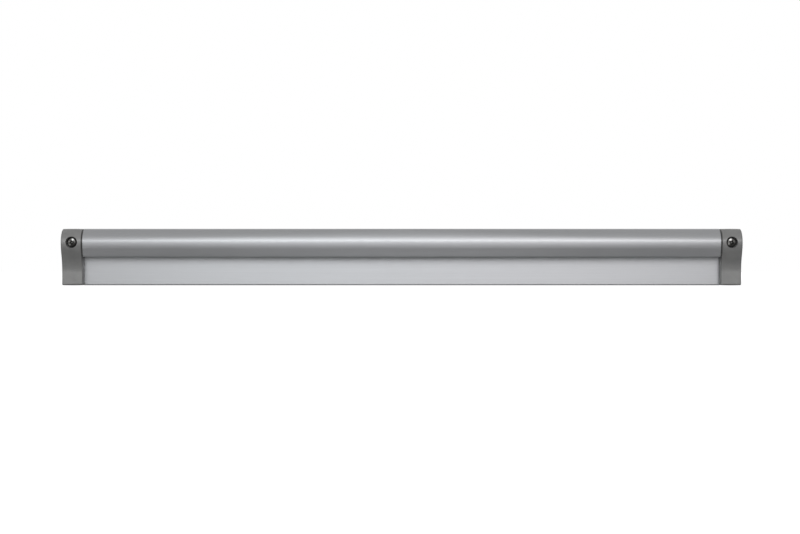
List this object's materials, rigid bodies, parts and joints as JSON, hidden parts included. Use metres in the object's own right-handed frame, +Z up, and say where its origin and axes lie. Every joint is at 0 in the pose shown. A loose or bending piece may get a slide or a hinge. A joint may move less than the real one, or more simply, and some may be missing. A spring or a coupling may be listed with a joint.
{
  "type": "order ticket rail",
  "caption": "Wall-mounted order ticket rail: a hooded aluminium extrusion between moulded end caps, whose loose glass marbles grip the top edge of a paper ticket.",
  "frame": {"origin": "centre of the back face that lies on the wall, half way along the rail and half way up it", "axes": "+X along the rail to the right end seen from the front, +Y into the wall, +Z up; the front is -Y"},
  "size_m": [0.6096, 0.037, 0.0508],
  "materials": {
    "anodised_aluminium": "satin anodised, with fine die lines along its length",
    "cap_plastic": "moulded mid-grey plastic with a fine spark texture",
    "plated_screw": "bright zinc-nickel plated steel",
    "marble_glass": "clear glass with a faint green tint"
  },
  "bodies": {
    "rail": {"rail_extrusion": "anodised_aluminium", "left_end_cap": "cap_plastic", "right_end_cap": "cap_plastic", "left_screw": "plated_screw", "right_screw": "plated_screw"},
    "marble_01": {"marble_01": "marble_glass"},
    "marble_02": {"marble_02": "marble_glass"},
    "marble_03": {"marble_03": "marble_glass"},
    "marble_04": {"marble_04": "marble_glass"},
    "marble_05": {"marble_05": "marble_glass"},
    "marble_06": {"marble_06": "marble_glass"},
    "marble_07": {"marble_07": "marble_glass"},
    "marble_08": {"marble_08": "marble_glass"},
    "marble_09": {"marble_09": "marble_glass"},
    "marble_10": {"marble_10": "marble_glass"},
    "marble_11": {"marble_11": "marble_glass"},
    "marble_12": {"marble_12": "marble_glass"},
    "marble_13": {"marble_13": "marble_glass"},
    "marble_14": {"marble_14": "marble_glass"},
    "marble_15": {"marble_15": "marble_glass"},
    "marble_16": {"marble_16": "marble_glass"},
    "marble_17": {"marble_17": "marble_glass"},
    "marble_18": {"marble_18": "marble_glass"},
    "marble_19": {"marble_19": "marble_glass"},
    "marble_20": {"marble_20": "marble_glass"},
    "marble_21": {"marble_21": "marble_glass"},
    "marble_22": {"marble_22": "marble_glass"},
    "marble_23": {"marble_23": "marble_glass"},
    "marble_24": {"marble_24": "marble_glass"},
    "marble_25": {"marble_25": "marble_glass"},
    "marble_26": {"marble_26": "marble_glass"},
    "marble_27": {"marble_27": "marble_glass"},
    "marble_28": {"marble_28": "marble_glass"},
    "marble_29": {"marble_29": "marble_glass"},
    "marble_30": {"marble_30": "marble_glass"},
    "marble_31": {"marble_31": "marble_glass"},
    "marble_32": {"marble_32": "marble_glass"},
    "marble_33": {"marble_33": "marble_glass"},
    "marble_34": {"marble_34": "marble_glass"},
    "marble_35": {"marble_35": "marble_glass"},
    "marble_36": {"marble_36": "marble_glass"},
    "marble_37": {"marble_37": "marble_glass"},
    "marble_38": {"marble_38": "marble_glass"},
    "marble_39": {"marble_39": "marble_glass"}
  },
  "joints": [
    {"name": "marble_01_lift", "type": "slide", "parent": "rail", "child": "marble_01", "axis": [0, 0, 1], "range_m": [0, 0.006]},
    {"name": "marble_02_lift", "type": "slide", "parent": "rail", "child": "marble_02", "axis": [0, 0, 1], "range_m": [0, 0.006]},
    {"name": "marble_03_lift", "type": "slide", "parent": "rail", "child": "marble_03", "axis": [0, 0, 1], "range_m": [0, 0.006]},
    {"name": "marble_04_lift", "type": "slide", "parent": "rail", "child": "marble_04", "axis": [0, 0, 1], "range_m": [0, 0.006]},
    {"name": "marble_05_lift", "type": "slide", "parent": "rail", "child": "marble_05", "axis": [0, 0, 1], "range_m": [0, 0.006]},
    {"name": "marble_06_lift", "type": "slide", "parent": "rail", "child": "marble_06", "axis": [0, 0, 1], "range_m": [0, 0.006]},
    {"name": "marble_07_lift", "type": "slide", "parent": "rail", "child": "marble_07", "axis": [0, 0, 1], "range_m": [0, 0.006]},
    {"name": "marble_08_lift", "type": "slide", "parent": "rail", "child": "marble_08", "axis": [0, 0, 1], "range_m": [0, 0.006]},
    {"name": "marble_09_lift", "type": "slide", "parent": "rail", "child": "marble_09", "axis": [0, 0, 1], "range_m": [0, 0.006]},
    {"name": "marble_10_lift", "type": "slide", "parent": "rail", "child": "marble_10", "axis": [0, 0, 1], "range_m": [0, 0.006]},
    {"name": "marble_11_lift", "type": "slide", "parent": "rail", "child": "marble_11", "axis": [0, 0, 1], "range_m": [0, 0.006]},
    {"name": "marble_12_lift", "type": "slide", "parent": "rail", "child": "marble_12", "axis": [0, 0, 1], "range_m": [0, 0.006]},
    {"name": "marble_13_lift", "type": "slide", "parent": "rail", "child": "marble_13", "axis": [0, 0, 1], "range_m": [0, 0.006]},
    {"name": "marble_14_lift", "type": "slide", "parent": "rail", "child": "marble_14", "axis": [0, 0, 1], "range_m": [0, 0.006]},
    {"name": "marble_15_lift", "type": "slide", "parent": "rail", "child": "marble_15", "axis": [0, 0, 1], "range_m": [0, 0.006]},
    {"name": "marble_16_lift", "type": "slide", "parent": "rail", "child": "marble_16", "axis": [0, 0, 1], "range_m": [0, 0.006]},
    {"name": "marble_17_lift", "type": "slide", "parent": "rail", "child": "marble_17", "axis": [0, 0, 1], "range_m": [0, 0.006]},
    {"name": "marble_18_lift", "type": "slide", "parent": "rail", "child": "marble_18", "axis": [0, 0, 1], "range_m": [0, 0.006]},
    {"name": "marble_19_lift", "type": "slide", "parent": "rail", "child": "marble_19", "axis": [0, 0, 1], "range_m": [0, 0.006]},
    {"name": "marble_20_lift", "type": "slide", "parent": "rail", "child": "marble_20", "axis": [0, 0, 1], "range_m": [0, 0.006]},
    {"name": "marble_21_lift", "type": "slide", "parent": "rail", "child": "marble_21", "axis": [0, 0, 1], "range_m": [0, 0.006]},
    {"name": "marble_22_lift", "type": "slide", "parent": "rail", "child": "marble_22", "axis": [0, 0, 1], "range_m": [0, 0.006]},
    {"name": "marble_23_lift", "type": "slide", "parent": "rail", "child": "marble_23", "axis": [0, 0, 1], "range_m": [0, 0.006]},
    {"name": "marble_24_lift", "type": "slide", "parent": "rail", "child": "marble_24", "axis": [0, 0, 1], "range_m": [0, 0.006]},
    {"name": "marble_25_lift", "type": "slide", "parent": "rail", "child": "marble_25", "axis": [0, 0, 1], "range_m": [0, 0.006]},
    {"name": "marble_26_lift", "type": "slide", "parent": "rail", "child": "marble_26", "axis": [0, 0, 1], "range_m": [0, 0.006]},
    {"name": "marble_27_lift", "type": "slide", "parent": "rail", "child": "marble_27", "axis": [0, 0, 1], "range_m": [0, 0.006]},
    {"name": "marble_28_lift", "type": "slide", "parent": "rail", "child": "marble_28", "axis": [0, 0, 1], "range_m": [0, 0.006]},
    {"name": "marble_29_lift", "type": "slide", "parent": "rail", "child": "marble_29", "axis": [0, 0, 1], "range_m": [0, 0.006]},
    {"name": "marble_30_lift", "type": "slide", "parent": "rail", "child": "marble_30", "axis": [0, 0, 1], "range_m": [0, 0.006]},
    {"name": "marble_31_lift", "type": "slide", "parent": "rail", "child": "marble_31", "axis": [0, 0, 1], "range_m": [0, 0.006]},
    {"name": "marble_32_lift", "type": "slide", "parent": "rail", "child": "marble_32", "axis": [0, 0, 1], "range_m": [0, 0.006]},
    {"name": "marble_33_lift", "type": "slide", "parent": "rail", "child": "marble_33", "axis": [0, 0, 1], "range_m": [0, 0.006]},
    {"name": "marble_34_lift", "type": "slide", "parent": "rail", "child": "marble_34", "axis": [0, 0, 1], "range_m": [0, 0.006]},
    {"name": "marble_35_lift", "type": "slide", "parent": "rail", "child": "marble_35", "axis": [0, 0, 1], "range_m": [0, 0.006]},
    {"name": "marble_36_lift", "type": "slide", "parent": "rail", "child": "marble_36", "axis": [0, 0, 1], "range_m": [0, 0.006]},
    {"name": "marble_37_lift", "type": "slide", "parent": "rail", "child": "marble_37", "axis": [0, 0, 1], "range_m": [0, 0.006]},
    {"name": "marble_38_lift", "type": "slide", "parent": "rail", "child": "marble_38", "axis": [0, 0, 1], "range_m": [0, 0.006]},
    {"name": "marble_39_lift", "type": "slide", "parent": "rail", "child": "marble_39", "axis": [0, 0, 1], "range_m": [0, 0.006]}
  ]
}
